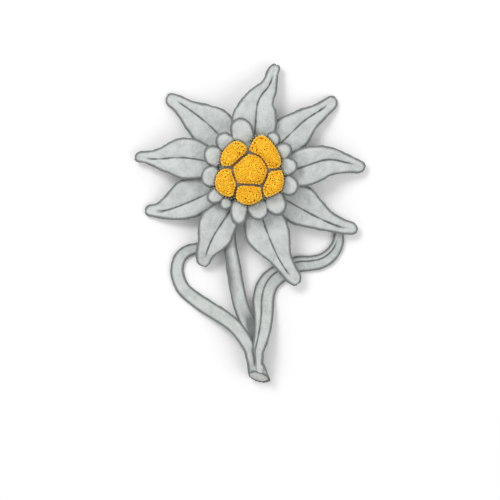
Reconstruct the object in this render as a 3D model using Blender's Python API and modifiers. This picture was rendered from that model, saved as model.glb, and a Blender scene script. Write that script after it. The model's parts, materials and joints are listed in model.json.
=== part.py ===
"""A cut edelweiss, laid face up on a flat surface: stem, two leaves, nine star bracts, a ring of
woolly scales and six golden flower heads.

Metres, +Z up. Z = 0 is the surface that the flower lies on, +Y runs from the cut end to the star,
and the origin is under the middle of the flower's outline. The plan sizes below are in
millimetres from the star's centre, and heights are in millimetres above the surface.
"""

import math

import bmesh
import bpy
from mathutils import Vector

MM = 0.001

# Driving heights and thicknesses
STAR_ABOVE_ORIGIN_Y = 11.32
LOWER_BRACT_Z = 4.1
UPPER_BRACT_Z = 5.7
BRACT_THICKNESS = 0.7
BRACT_PUFF = 0.3
LEAF_THICKNESS = 0.6
LYING_Z = 0.45
TIP_HALF_WIDTH = 0.32
STEM_RADIUS = 1.38
HEAD_EQUATOR_Z = 10.2
HEAD_DOME = 2.4
HEAD_UNDERSIDE = 1.9
SCALE_Z = 8.2
SCALE_HALF_HEIGHT = 1.5
PIECE_GAP = 0.3

# Where the widths of a blade are given, as shares of its length from root to tip
WIDTH_STATIONS = (0.0, 0.2, 0.4, 0.55, 0.7, 0.85, 1.0)

# name: (layer, tip height, droop power, midrib points, widths left of the midrib, widths right),
# left and right as seen when looking from the root to the tip
BRACTS = {
    "bract_north": (
        "upper", 1.6, 2.4,
        ((0.4, 3.6), (1.1, 9.2), (1.8, 15.4), (4.2, 19.1), (5.4, 23.5)),
        (1.6, 4.2, 5.0, 3.4, 1.95, 1.6, 1.3),
        (1.6, 4.2, 4.6, 3.8, 2.3, 0.95, 1.1),
    ),
    "bract_north_east": (
        "lower", 0.42, 2.2,
        ((2.6, 2.6), (7.3, 6.8), (11.8, 11.1), (15.8, 13.8), (18.7, 16.0)),
        (1.2, 3.0, 4.0, 3.1, 2.1, 1.4, 1.35),
        (1.2, 3.0, 4.0, 3.4, 2.25, 1.6, 1.35),
    ),
    "bract_east": (
        "upper", 1.3, 2.4,
        ((3.8, -0.6), (10.1, 0.6), (16.6, 2.6), (20.9, 2.1), (25.1, 1.0)),
        (1.5, 3.2, 4.0, 3.25, 2.2, 1.45, 1.0),
        (1.5, 3.2, 4.2, 3.75, 3.15, 1.9, 1.2),
    ),
    "bract_south_east": (
        "lower", 1.5, 2.4,
        ((3.1, -2.6), (7.0, -5.6), (14.2, -9.7), (19.5, -12.0), (23.4, -13.0)),
        (1.3, 3.4, 4.95, 3.6, 2.25, 1.8, 1.6),
        (1.3, 2.8, 3.6, 2.7, 1.8, 1.25, 0.9),
    ),
    "bract_south_right": (
        "upper", 2.3, 3.0,
        ((1.7, -3.9), (2.8, -10.4), (5.6, -17.6), (7.9, -21.6), (10.3, -24.5)),
        (1.4, 3.6, 4.5, 3.9, 2.55, 2.2, 1.9),
        (1.4, 3.0, 4.45, 3.3, 1.7, 1.25, 1.1),
    ),
    "bract_south_left": (
        "upper", 1.7, 3.2,
        ((-1.9, -3.9), (-4.5, -8.7), (-7.8, -13.8), (-9.4, -17.4), (-10.0, -20.6)),
        (1.3, 2.2, 3.2, 3.8, 3.2, 1.4, 1.0),
        (1.3, 2.6, 4.05, 4.5, 2.95, 2.05, 1.5),
    ),
    "bract_south_west": (
        "lower", 0.42, 2.2,
        ((-3.4, -2.0), (-9.5, -4.9), (-14.5, -7.1), (-19.1, -8.5), (-22.8, -8.4)),
        (1.3, 2.6, 3.2, 3.4, 2.5, 1.2, 0.9),
        (1.3, 3.0, 4.5, 4.9, 3.4, 1.9, 1.1),
    ),
    "bract_west": (
        "upper", 1.5, 2.4,
        ((-3.9, 0.6), (-10.1, 2.4), (-15.4, 3.1), (-20.3, 2.9), (-25.0, 3.3)),
        (1.5, 3.2, 4.4, 4.15, 2.9, 1.0, 0.85),
        (1.5, 2.6, 4.4, 4.2, 2.7, 1.7, 1.35),
    ),
    "bract_north_west": (
        "lower", 0.42, 2.2,
        ((-2.6, 2.6), (-7.1, 8.4), (-11.1, 12.0), (-15.2, 15.0), (-18.2, 16.6)),
        (1.2, 3.0, 4.1, 4.1, 3.0, 2.0, 1.6),
        (1.2, 3.0, 4.2, 3.7, 2.1, 1.3, 1.2),
    ),
}

# name: (points of the midrib as x, y, height, roll in degrees at the root, widths left, right)
LEAVES = {
    "leaf_left": (
        (
            (0.45, -42.0, 3.6), (-0.8, -37.2, 3.8), (-4.2, -33.2, 2.6), (-11.0, -28.5, 0.6),
            (-14.7, -25.5, LYING_Z), (-16.1, -21.6, LYING_Z), (-15.0, -18.2, LYING_Z),
            (-11.7, -16.7, LYING_Z), (-5.0, -16.6, LYING_Z),
        ),
        -32,
        (1.0, 1.3, 1.3, 1.15, 1.15, 1.0, 0.5),
        (1.0, 1.3, 1.3, 1.15, 1.15, 1.0, 0.5),
    ),
    "leaf_right": (
        (
            (2.1, -42.0, 3.55), (1.9, -37.6, 3.6), (2.1, -33.6, 2.5), (2.6, -29.6, 1.1),
            (3.1, -25.9, 0.55), (4.2, -23.5, LYING_Z), (6.2, -21.8, LYING_Z), (9.9, -19.9, LYING_Z),
            (13.1, -19.6, LYING_Z), (15.8, -19.0, LYING_Z), (17.9, -17.4, LYING_Z), (19.0, -15.5, LYING_Z),
            (19.3, -13.6, LYING_Z), (19.2, -11.8, LYING_Z),
        ),
        18,
        (0.35, 1.2, 1.8, 1.6, 1.1, 1.0, 0.6),
        (1.1, 2.2, 2.5, 2.7, 2.0, 1.7, 0.8),
    ),
}

# The flower stalk's centre line as x, y, height, and its radius there, from cut end to star
STALK = (
    (2.05, -46.8, 2.7, 2.7), (1.8, -44.4, 2.35, 2.1), (1.6, -42.4, 1.8, 1.3),
    (1.25, -38.8, 1.6, 1.15), (0.4, -35.9, 1.55, 1.3), (-0.8, -32.6, 1.6, 1.5),
    (-2.0, -29.3, 1.65, 1.55), (-2.9, -25.3, 1.8, 1.55),
    (-3.8, -19.8, 2.3, STEM_RADIUS), (-4.4, -15.6, 2.65, STEM_RADIUS),
    (-4.4, -11.9, 2.75, STEM_RADIUS), (-3.5, -7.9, 2.8, STEM_RADIUS),
    (-1.8, -4.0, 2.9, 1.45), (-0.3, -1.2, 3.3, 1.6),
)
CUT_PLACE = (1.92, -45.15, 2.5)
CUT_SLANT = (-0.27, -0.9, 0.34)

# The receptacle that the stalk swells into, as radius and height up its outer side
RECEPTACLE = (
    (0.0, 2.1), (1.5, 2.3), (2.3, 3.2), (2.6, 4.2), (2.6, 6.6), (6.0, 7.0), (6.2, 7.4),
    (5.8, 7.8), (0.0, 8.0),
)

# name: (centre x, y, then corners of the outline around it)
HEADS = {
    "flower_head_centre": (
        (0.0, 0.0),
        ((-0.5, 4.0), (2.3, 3.0), (4.0, 0.6), (2.6, -3.3), (-2.7, -3.0), (-4.1, 0.7)),
    ),
    "flower_head_upper_left": (
        (-3.7, 3.7),
        ((-0.7, 5.6), (-1.7, 6.6), (-3.3, 6.9), (-4.4, 6.4), (-6.1, 4.5), (-6.7, 2.8),
         (-6.5, 1.3), (-4.4, 0.6), (-0.5, 4.4)),
    ),
    "flower_head_upper_right": (
        (3.6, 4.3),
        ((-0.4, 4.4), (0.0, 5.9), (1.0, 7.5), (2.6, 8.1), (3.7, 7.9), (4.9, 6.7), (6.1, 5.0),
         (7.1, 3.0), (6.9, 1.3), (6.3, 0.5), (4.2, 0.2), (2.9, 2.5), (1.3, 3.8)),
    ),
    "flower_head_right": (
        (5.4, -2.8),
        ((4.1, 0.1), (6.8, 0.6), (7.4, -0.7), (7.5, -2.6), (6.8, -4.3), (3.2, -6.0),
         (2.6, -4.6), (2.7, -3.3)),
    ),
    "flower_head_bottom": (
        (-0.3, -5.2),
        ((-2.8, -3.2), (-0.2, -2.9), (2.3, -3.4), (3.0, -6.0), (1.3, -7.1), (-0.4, -7.5),
         (-2.2, -7.0), (-3.6, -5.9), (-3.3, -4.1)),
    ),
    "flower_head_left": (
        (-5.5, -2.5),
        ((-4.1, 0.5), (-5.4, 0.8), (-6.7, 0.2), (-7.5, -1.0), (-7.8, -2.6), (-7.4, -4.1),
         (-6.2, -5.1), (-4.5, -5.7), (-3.7, -5.6), (-3.0, -3.0)),
    ),
}

# Woolly scales, clockwise from the top: centre x, y, half length, half width, turn of the length
# from +X in degrees, and how much higher or lower than SCALE_Z the scale sits
SCALES = (
    (-1.8, 9.1, 3.0, 2.25, 100, 0.0),
    (4.95, 7.5, 1.75, 1.55, 60, -0.5),
    (7.4, 4.65, 1.9, 1.7, 35, 0.0),
    (8.4, 1.25, 1.9, 1.75, 5, 0.0),
    (8.55, -3.0, 2.0, 2.05, -15, 0.0),
    (6.0, -7.0, 2.6, 1.75, -70, 0.0),
    (1.85, -8.25, 2.15, 1.95, -80, 0.0),
    (-2.35, -8.9, 2.85, 1.7, -92, 0.0),
    (-5.35, -6.9, 1.3, 1.1, -125, -0.3),
    (-7.8, -5.2, 1.65, 1.45, -140, 0.0),
    (-8.6, -1.15, 1.95, 2.05, -178, 0.0),
    (-8.0, 3.5, 2.25, 1.8, 125, 0.0),
    (-5.4, 6.9, 1.85, 1.75, 130, 0.0),
)


def clear_scene():
    """Remove every object that the startup scene holds."""
    for old in list(bpy.data.objects):
        bpy.data.objects.remove(old)


def collection_named(name):
    """A collection of this name in the scene."""
    made = bpy.data.collections.new(name)
    bpy.context.scene.collection.children.link(made)
    return made


def material_named(name, colour, roughness):
    """A plain material with this colour and roughness."""
    made = bpy.data.materials.new(name)
    made.use_nodes = True
    shader = made.node_tree.nodes["Principled BSDF"]
    shader.inputs["Base Color"].default_value = (*colour, 1.0)
    shader.inputs["Roughness"].default_value = roughness
    shader.inputs["Metallic"].default_value = 0.0
    return made


def from_star(x, y, z=0.0):
    """A point in metres, from millimetres measured at the star's centre."""
    return Vector((x, y + STAR_ABOVE_ORIGIN_Y, z)) * MM


def through(points, share):
    """The point at this share, 0 to 1, of a smooth curve that passes through all the points."""
    points = [Vector(p) if hasattr(p, "__len__") else Vector((p, 0, 0)) for p in points]
    spans = len(points) - 1
    at = min(max(share, 0.0), 1.0) * spans
    i = min(int(at), spans - 1)
    t = at - i
    before = points[i - 1] if i else 2 * points[0] - points[1]
    after = points[i + 2] if i + 2 <= spans else 2 * points[-1] - points[-2]
    start, end = points[i], points[i + 1]
    return 0.5 * (
        2 * start
        + (end - before) * t
        + (2 * before - 5 * start + 4 * end - after) * t ** 2
        + (3 * start - before - 3 * end + after) * t ** 3
    )


class Midrib:
    """A smooth line through the given points, walked by its length and not by its points."""

    SAMPLES = 240

    def __init__(self, points):
        self.points = points
        line = [through(points, k / self.SAMPLES) for k in range(self.SAMPLES + 1)]
        self.walked = [0.0]
        for a, b in zip(line, line[1:]):
            self.walked.append(self.walked[-1] + (b - a).length)
        self.length = self.walked[-1]

    def at(self, share):
        """The point at this share of the length."""
        goal = share * self.length
        k = 1
        while k < self.SAMPLES and self.walked[k] < goal:
            k += 1
        step = self.walked[k] - self.walked[k - 1]
        part = (goal - self.walked[k - 1]) / step if step else 0.0
        return through(self.points, (k - 1 + part) / self.SAMPLES)

    def heading(self, share):
        """The direction of travel at this share of the length."""
        reach = 0.01
        return (self.at(min(share + reach, 1)) - self.at(max(share - reach, 0))).normalized()


def width_at(widths, share):
    """A blade's half width at this share of its length, from the widths at WIDTH_STATIONS."""
    for k, (low, high) in enumerate(zip(WIDTH_STATIONS, WIDTH_STATIONS[1:])):
        if share <= high:
            within = (share - low) / (high - low)
            return through(widths, (k + within) / (len(widths) - 1)).x
    return widths[-1]


def round_tip(share, length, radius):
    """1 along a blade, falling at the tip as a half circle of this radius does, to a blunt end."""
    left = (1 - share) * length
    if left >= radius:
        return 1.0
    return max(math.sqrt(max(1 - (1 - left / radius) ** 2, 0.0)), TIP_HALF_WIDTH / radius)


def row_shares(rows, length, radius):
    """Where a blade's cross rows lie, as shares of its length, closer together in the round tip."""
    tip_rows = 4
    straight = 1 - radius / length
    body = [straight * k / (rows - tip_rows) for k in range(rows - tip_rows + 1)]
    turns = [math.sin(math.pi / 2 * k / tip_rows) for k in range(1, tip_rows + 1)]
    return body + [straight + (1 - straight) * t for t in turns]


def blade(name, midrib, left, right, relief, roll, thickness, rows, columns, material):
    """A thin, felted blade along a midrib, with its own width on each side and a given relief."""
    tip_radius = (left[-1] + right[-1]) / 2
    shares = row_shares(rows, midrib.length, tip_radius)
    bm = bmesh.new()
    bmesh.ops.create_grid(bm, x_segments=columns, y_segments=rows, size=1.0)
    for vertex in bm.verts:
        across = vertex.co.x
        row = round((vertex.co.y + 1) / 2 * rows)
        share = shares[row]
        heading = midrib.heading(share)
        flat_side = heading.cross(Vector((0, 0, 1))).normalized()
        turn = math.radians(roll(share))
        up = flat_side.cross(heading)
        side = flat_side * math.cos(turn) + up * math.sin(turn)
        widths = right if across > 0 else left
        width = width_at(widths, share) * round_tip(share, midrib.length, tip_radius)
        point = midrib.at(share) + side * across * width + side.cross(heading) * relief(share, across)
        vertex.co = from_star(*point)
    mesh = bpy.data.meshes.new(name)
    bm.to_mesh(mesh)
    bm.free()
    mesh.shade_smooth()
    mesh.materials.append(material)
    piece = bpy.data.objects.new(name, mesh)
    solidify = piece.modifiers.new("Thickness", "SOLIDIFY")
    solidify.thickness = thickness * MM
    solidify.offset = 0.0
    flower.objects.link(piece)
    return piece


def bract(name, layer, tip_z, power, points, left, right, material):
    """A star bract: it leaves the receptacle level and droops towards its tip."""
    root_z = {"lower": LOWER_BRACT_Z, "upper": UPPER_BRACT_Z}[layer]
    plan = Midrib([(x, y, 0.0) for x, y in points])
    steps = 8
    raised = []
    for k in range(steps + 1):
        spot = plan.at(k / steps)
        raised.append((spot.x, spot.y, root_z + (tip_z - root_z) * (k / steps) ** power))

    def relief(share, across):
        """Each half swells between the midrib and the edge, less so at the root and the tip."""
        swell = math.sin(math.pi * abs(across)) * math.sin(math.pi * min(share + 0.1, 1.0))
        return BRACT_PUFF * swell

    rows, columns = 17, 6
    return blade(name, Midrib(raised), left, right, relief, lambda share: 0.0,
                 BRACT_THICKNESS, rows, columns, material)


def leaf(name, points, root_roll, left, right, material):
    """A stem leaf: it clasps the stalk at its root, then lies down along the surface."""
    clasp_length, arch_depth, gutter_depth = 0.22, 0.4, 0.12

    def clasp(share):
        return max(1 - share / clasp_length, 0.0)

    def relief(share, across):
        """The root arches over the stalk, and the rest is a shallow gutter."""
        return gutter_depth * abs(across) - arch_depth * clasp(share) * across ** 2

    rows, columns = 40, 4
    return blade(name, Midrib(points), left, right, relief, lambda share: root_roll * clasp(share),
                 LEAF_THICKNESS, rows, columns, material)


def mesh_from_curve(curve_object):
    """The curve's evaluated shape as a mesh object of the same name, its caps welded on."""
    bpy.context.view_layer.update()
    graph = bpy.context.evaluated_depsgraph_get()
    mesh = bpy.data.meshes.new_from_object(curve_object.evaluated_get(graph))
    bm = bmesh.new()
    bm.from_mesh(mesh)
    bmesh.ops.remove_doubles(bm, verts=bm.verts, dist=0.01 * MM)
    bmesh.ops.recalc_face_normals(bm, faces=bm.faces)
    bm.to_mesh(mesh)
    bm.free()
    name, place = curve_object.name, curve_object.matrix_world.copy()
    bpy.data.objects.remove(curve_object)
    piece = bpy.data.objects.new(name, mesh)
    piece.matrix_world = place
    return piece


def helper(piece):
    """Keep a cutter or a joined-in shape out of the finished object."""
    piece.hide_render = True
    piece.display_type = "WIRE"
    helpers.objects.link(piece)
    return piece


def join_or_cut(piece, other, operation):
    """Add a Boolean with the other shape to a piece."""
    boolean = piece.modifiers.new(operation.title(), "BOOLEAN")
    boolean.operation = operation
    boolean.solver = "EXACT"
    boolean.object = other


def receptacle_shape():
    """The turned swelling at the top of the stalk."""
    profile = [Vector((radius * MM, 0, z * MM)) for radius, z in reversed(RECEPTACLE)]
    mesh = bpy.data.meshes.new("receptacle")
    mesh.from_pydata(profile, [(k, k + 1) for k in range(len(profile) - 1)], [])
    piece = bpy.data.objects.new("receptacle", mesh)
    piece.location = from_star(0, 0)
    screw = piece.modifiers.new("Turn", "SCREW")
    screw.axis = "Z"
    screw.steps = screw.render_steps = 24
    screw.use_merge_vertices = True
    screw.merge_threshold = 0.00001
    return helper(piece)


def cut_block():
    """A box below the slanting plane that the stem was cut on."""
    size = 12 * MM
    bm = bmesh.new()
    bmesh.ops.create_cube(bm, size=size)
    mesh = bpy.data.meshes.new("cut_block")
    bm.to_mesh(mesh)
    bm.free()
    block = bpy.data.objects.new("cut_block", mesh)
    outward = Vector(CUT_SLANT).normalized()
    block.rotation_euler = outward.to_track_quat("Z", "Y").to_euler()
    block.location = from_star(*CUT_PLACE) + outward * size / 2
    return helper(block)


def stem(material):
    """The flower stalk, swollen into the receptacle at the top and cut on a slant below."""
    curve = bpy.data.curves.new("stem", "CURVE")
    curve.dimensions = "3D"
    curve.bevel_depth = MM
    curve.bevel_resolution = 2
    curve.use_fill_caps = True
    spline = curve.splines.new("POLY")
    rings = 40
    spline.points.add(rings)
    for k in range(rings + 1):
        x, y, z, radius = through([Vector(p) for p in STALK], k / rings)
        spline.points[k].co = (*from_star(x, y, z), 1.0)
        spline.points[k].radius = radius
    piece = mesh_from_curve(bpy.data.objects.new("stem", curve))
    piece.data.materials.append(material)
    piece.data.shade_smooth()
    flower.objects.link(piece)
    join_or_cut(piece, receptacle_shape(), "UNION")
    join_or_cut(piece, cut_block(), "DIFFERENCE")
    return piece


def outline_radius(corners, centre, angle):
    """How far a head's outline lies from its centre in one direction."""
    polar = sorted(
        (math.atan2(y - centre[1], x - centre[0]), math.hypot(x - centre[0], y - centre[1]))
        for x, y in corners
    )
    count = len(polar)
    turn = 2 * math.pi
    for k in range(count):
        start, start_radius = polar[k]
        end, end_radius = polar[(k + 1) % count]
        gap = (end - start) % turn
        into = (angle - start) % turn
        if into <= gap:
            x = start_radius * math.sin(gap - into) * end_radius
            y = start_radius * math.sin(into) * end_radius
            chord = start_radius * end_radius * math.sin(gap)
            return chord / (x / start_radius + y / end_radius)
    return polar[0][1]


def flower_head(name, centre, corners, material):
    """A flower head: a ball whose plan is drawn out to its outline, low above and below."""
    sides, rings = 20, 10
    fullness = 0.7
    bm = bmesh.new()
    bmesh.ops.create_uvsphere(bm, u_segments=sides, v_segments=rings, radius=1.0)
    for vertex in bm.verts:
        angle = math.atan2(vertex.co.y, vertex.co.x)
        spread = min(math.hypot(vertex.co.x, vertex.co.y), 1.0) ** fullness
        radius = (outline_radius(corners, centre, angle) - PIECE_GAP / 2) * spread
        height = vertex.co.z * (HEAD_DOME if vertex.co.z > 0 else HEAD_UNDERSIDE)
        vertex.co = from_star(
            centre[0] + radius * math.cos(angle),
            centre[1] + radius * math.sin(angle),
            HEAD_EQUATOR_Z + height,
        )
    mesh = bpy.data.meshes.new(name)
    bm.to_mesh(mesh)
    bm.free()
    mesh.shade_smooth()
    mesh.materials.append(material)
    piece = bpy.data.objects.new(name, mesh)
    flower.objects.link(piece)
    return piece


def woolly_scale(name, x, y, half_length, half_width, turn, lift, material):
    """A small round scale of dense wool: a flattened ball, longer along its turn."""
    bm = bmesh.new()
    bmesh.ops.create_uvsphere(bm, u_segments=16, v_segments=8, radius=1.0)
    bmesh.ops.scale(
        bm, vec=(half_length * MM, half_width * MM, SCALE_HALF_HEIGHT * MM), verts=bm.verts
    )
    mesh = bpy.data.meshes.new(name)
    bm.to_mesh(mesh)
    bm.free()
    mesh.shade_smooth()
    mesh.materials.append(material)
    piece = bpy.data.objects.new(name, mesh)
    piece.location = from_star(x, y, SCALE_Z + lift)
    piece.rotation_euler = (0, 0, math.radians(turn))
    flower.objects.link(piece)
    return piece


clear_scene()
flower = collection_named("edelweiss")
helpers = collection_named("helpers")
white_felt = material_named("white_felt", (0.53, 0.55, 0.545), 0.95)
green_felt = material_named("green_felt", (0.53, 0.55, 0.545), 0.95)
gold_florets = material_named("gold_florets", (0.85, 0.45, 0.03), 0.8)

stem(green_felt)
for leaf_name, leaf_facts in LEAVES.items():
    leaf(leaf_name, *leaf_facts, green_felt)
for bract_name, bract_facts in BRACTS.items():
    bract(bract_name, *bract_facts, white_felt)
for number, scale_facts in enumerate(SCALES, 1):
    woolly_scale(f"woolly_scale_{number:02d}", *scale_facts, white_felt)
for head_name, head_facts in HEADS.items():
    flower_head(head_name, *head_facts, gold_florets)
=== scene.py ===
# %% [markdown]
# # A cut edelweiss, laid face up
# An edelweiss is a wool-covered mountain flower. Its "petals" are bracts, which are leaves that
# stand in a star round a few small golden flower heads. This one is cut, and it lies on its back
# on a pale surface with its stalk and two of its leaves.
#
# The imported model gives every piece its place, so it is loaded first and the fine pieces are made
# round it.

# %% Load the imported model
import json
import math
import random

import bmesh
import bpy
import numpy as np
from mathutils import Euler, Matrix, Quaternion, Vector

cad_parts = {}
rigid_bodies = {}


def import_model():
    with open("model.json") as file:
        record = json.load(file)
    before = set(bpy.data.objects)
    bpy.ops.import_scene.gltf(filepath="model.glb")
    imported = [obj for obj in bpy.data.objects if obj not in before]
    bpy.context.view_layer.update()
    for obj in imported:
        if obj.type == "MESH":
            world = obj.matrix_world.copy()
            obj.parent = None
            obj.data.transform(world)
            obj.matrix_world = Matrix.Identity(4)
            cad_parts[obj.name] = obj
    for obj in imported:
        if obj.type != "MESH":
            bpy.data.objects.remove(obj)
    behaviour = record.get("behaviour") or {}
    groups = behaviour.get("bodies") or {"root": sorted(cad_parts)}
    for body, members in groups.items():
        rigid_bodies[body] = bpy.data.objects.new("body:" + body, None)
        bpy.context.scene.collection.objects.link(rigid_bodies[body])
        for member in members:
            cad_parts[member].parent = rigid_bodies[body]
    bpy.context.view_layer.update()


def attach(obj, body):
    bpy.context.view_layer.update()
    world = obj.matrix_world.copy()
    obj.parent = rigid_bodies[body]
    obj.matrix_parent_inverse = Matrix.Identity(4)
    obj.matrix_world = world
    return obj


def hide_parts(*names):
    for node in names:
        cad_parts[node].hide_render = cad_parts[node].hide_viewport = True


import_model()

MM = 0.001
scene = bpy.context.scene

# %% [markdown]
# ## The view, the floor and the light
# The flower is seen from straight above. The lens is long, because a short one close up would
# make the star bulge and would hide the roots of the bracts behind the golden heads.

# %% Camera
VIEW_CENTRE_Y = -5.84
VIEW_WIDTH = 110.0
LENS = 600.0
SENSOR = 36.0

camera_data = bpy.data.cameras.new("camera")
camera_data.lens = LENS
camera_data.sensor_width = SENSOR
camera = bpy.data.objects.new("camera", camera_data)
camera.location = (0, VIEW_CENTRE_Y * MM, VIEW_WIDTH * LENS / SENSOR * MM)
camera_data.clip_start = 0.01
camera_data.clip_end = 10
scene.collection.objects.link(camera)
scene.camera = camera
print("camera height in mm", round(camera.location.z / MM))

# %% [markdown]
# Wool looks soft when most of the light is broad and a little comes from one side: one lamp
# stands at the upper left, a broad weak one fills in from the right, and the sky is pale.

# %% Light and floor
def feed(node, name, value):
    """Join an output to a node's input, or set the input to a value."""
    if isinstance(value, bpy.types.NodeSocket):
        node.id_data.links.new(value, node.inputs[name])
    else:
        node.inputs[name].default_value = value


def soft_lamp(name, place, width, power):
    """A square studio lamp that points at the star."""
    data = bpy.data.lights.new(name, "AREA")
    data.size = width
    data.energy = power
    lamp = bpy.data.objects.new(name, data)
    lamp.location = place
    lamp.rotation_euler = (-Vector(place)).to_track_quat("-Z", "Y").to_euler()
    scene.collection.objects.link(lamp)


def new_finish(name, rough, specular):
    """A new material with its node tree, its shader and the place on the piece."""
    made = bpy.data.materials.new(name)
    made.use_nodes = True
    tree = made.node_tree
    shader = tree.nodes["Principled BSDF"]
    feed(shader, "Roughness", rough)
    feed(shader, "Specular IOR Level", specular)
    return made, tree, shader, tree.nodes.new("ShaderNodeTexCoord").outputs["Object"]


soft_lamp("key_lamp", (-0.27, 0.31, 0.47), 0.24, 1.7)
soft_lamp("fill_lamp", (0.45, -0.2, 0.5), 0.5, 1.15)
world = bpy.data.worlds.new("pale_sky")
world.use_nodes = True
sky = world.node_tree.nodes["Background"]
feed(sky, "Color", (1, 1, 1, 1))
feed(sky, "Strength", 0.7)
scene.world = world
scene.view_settings.view_transform = "Standard"

bpy.ops.mesh.primitive_plane_add(size=3, location=(0, 0, 0))
floor = bpy.context.object
floor.name = "floor"
floor_paper, _, shader, _ = new_finish("floor_paper", 0.9, 0.1)
feed(shader, "Base Color", (0.9, 0.9, 0.9, 1))
floor.data.materials.append(floor_paper)
print("lamps 2, floor", floor.name)

# %% [markdown]
# ## A few hand tools
# Blender's operators act on whatever is selected. These helpers do what the hand does before each
# move: put everything down, pick up one piece, and pick out the part of it to work on.

# %% Picking up
def fresh(shape, name, **settings):
    """Put everything down and add a new piece of a simple shape."""
    bpy.ops.object.select_all(action="DESELECT")
    getattr(bpy.ops.mesh, f"primitive_{shape}_add")(**settings)
    piece = bpy.context.object
    piece.name = piece.data.name = name
    return piece


def alone(piece):
    """Put everything down and pick up this one piece."""
    bpy.ops.object.select_all(action="DESELECT")
    piece.select_set(True)
    bpy.context.view_layer.objects.active = piece


def pick(test, kind="VERT"):
    """In edit mode, select only the vertices, edges or faces that pass a test."""
    bpy.ops.mesh.select_mode(type=kind)
    bpy.ops.mesh.select_all(action="DESELECT")
    mesh = bpy.context.edit_object.data
    bm = bmesh.from_edit_mesh(mesh)
    for item in {"VERT": bm.verts, "EDGE": bm.edges, "FACE": bm.faces}[kind]:
        if test(item):
            item.select_set(True)
    bmesh.update_edit_mesh(mesh)


def edit(piece):
    """Pick up a piece and go into edit mode on it."""
    alone(piece)
    bpy.ops.object.mode_set(mode="EDIT")


def resize(size, centre=(0, 0, 0)):
    """Resize what is picked, about a centre."""
    bpy.ops.transform.resize(value=size, center_override=centre)


def leave():
    """Go back to object mode."""
    bpy.ops.object.mode_set(mode="OBJECT")


print("picking tools ready")

# %% [markdown]
# Modifiers round, thicken and lump the pieces. Each is applied as soon as it is set, because the
# next step works on the shape that it leaves.

# %% Modifiers and handing over
def modify(piece, kind, **settings):
    """Add a modifier, set it, and apply it at once."""
    alone(piece)
    modifier = piece.modifiers.new(kind.title(), kind)
    for key, value in settings.items():
        setattr(modifier, key, value)
    bpy.ops.object.modifier_apply(modifier=modifier.name)


def smooth(piece, level):
    """Apply a Subdivision Surface of this level."""
    modify(piece, "SUBSURF", levels=level, render_levels=level)


def lumps(piece, size, height, name):
    """Push the surface in and out in soft lumps of about this size."""
    texture = bpy.data.textures.get(name) or bpy.data.textures.new(name, "CLOUDS")
    texture.noise_scale = size * MM
    texture.noise_depth = 2
    modify(piece, "DISPLACE", texture=texture, strength=height * MM, mid_level=0.5,
           direction="NORMAL", texture_coords="LOCAL")


def settle(piece):
    """Write a piece's place into its mesh, so that its object sits at the origin."""
    alone(piece)
    bpy.ops.object.transform_apply(location=True, rotation=True, scale=True)


def hand_over(piece, material, node):
    """Give a piece its finish, and let it stand for its CAD node."""
    piece.data.materials.clear()
    piece.data.materials.append(material)
    piece.data.shade_smooth()
    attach(piece, "root")
    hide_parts(node)


def places(piece):
    """The piece's vertex places as an array, in metres."""
    flat = np.empty(len(piece.data.vertices) * 3)
    piece.data.vertices.foreach_get("co", flat)
    return flat.reshape(-1, 3)


def note(piece, name, values):
    """Store one number for each vertex, for the material to read."""
    numbers = piece.data.attributes.new(name, "FLOAT", "POINT")
    numbers.data.foreach_set("value", np.asarray(values, dtype=np.float32))


print("modifiers and notes ready")

# %% [markdown]
# All places are measured from the star's centre, as they are read off the flower. A few points
# are enough for a midrib or the stalk, because a smooth curve is run through them.

# %% Places and curves
STAR_Y = 11.32


def star(x, y, z=0.0):
    """A place in metres, from millimetres measured from the star's centre."""
    return Vector((x, y + STAR_Y, z)) * MM


def through(points, share):
    """The point at this share, 0 to 1, of a smooth curve that passes through all the points."""
    points = [Vector(p) if hasattr(p, "__len__") else Vector((p, 0, 0)) for p in points]
    spans = len(points) - 1
    at = min(max(share, 0.0), 1.0) * spans
    i = min(int(at), spans - 1)
    t = at - i
    before = points[i - 1] if i else 2 * points[0] - points[1]
    after = points[i + 2] if i + 2 <= spans else 2 * points[-1] - points[-2]
    start, end = points[i], points[i + 1]
    return 0.5 * (
        2 * start
        + (end - before) * t
        + (2 * before - 5 * start + 4 * end - after) * t ** 2
        + (3 * start - before - 3 * end + after) * t ** 3
    )


def run_along(spots):
    """How far along a line each of its spots lies."""
    run = [0.0]
    for near, far in zip(spots, spots[1:]):
        run.append(run[-1] + (far - near).length)
    return run


print("the star stands at y", STAR_Y)

# %% [markdown]
# ## Matted wool, as a shader group
# The plant's wool is a mat of fine hairs that cross one another. One noise texture looks like
# clouds, so the group crosses three of them, each drawn out in its own direction, and keeps the
# highest hair at every point. It puts out a height for the bump and a mask of light hairs.

# %% Wool group
def new_group(name, inputs, outputs):
    """A node group with named inputs (name, kind, value) and outputs (name, kind)."""
    group = bpy.data.node_groups.new(name, "ShaderNodeTree")
    for label, kind, value in inputs:
        socket = group.interface.new_socket(label, in_out="INPUT", socket_type=kind)
        if value is not None:
            socket.default_value = value
    for label, kind in outputs:
        group.interface.new_socket(label, in_out="OUTPUT", socket_type=kind)
    return group, group.nodes.new("NodeGroupInput"), group.nodes.new("NodeGroupOutput")


def math_node(tree, operation, first, second):
    """A Math node whose two inputs are sockets or numbers."""
    node = tree.nodes.new("ShaderNodeMath")
    node.operation = operation
    feed(node, 0, first)
    feed(node, 1, second)
    return node.outputs[0]


def ramp(tree, value, low, high):
    """A mask that rises softly from 0 at low to 1 at high."""
    node = tree.nodes.new("ShaderNodeMapRange")
    node.interpolation_type = "SMOOTHSTEP"
    feed(node, "Value", value)
    feed(node, "From Min", low)
    feed(node, "From Max", high)
    return node.outputs["Result"]


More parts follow.
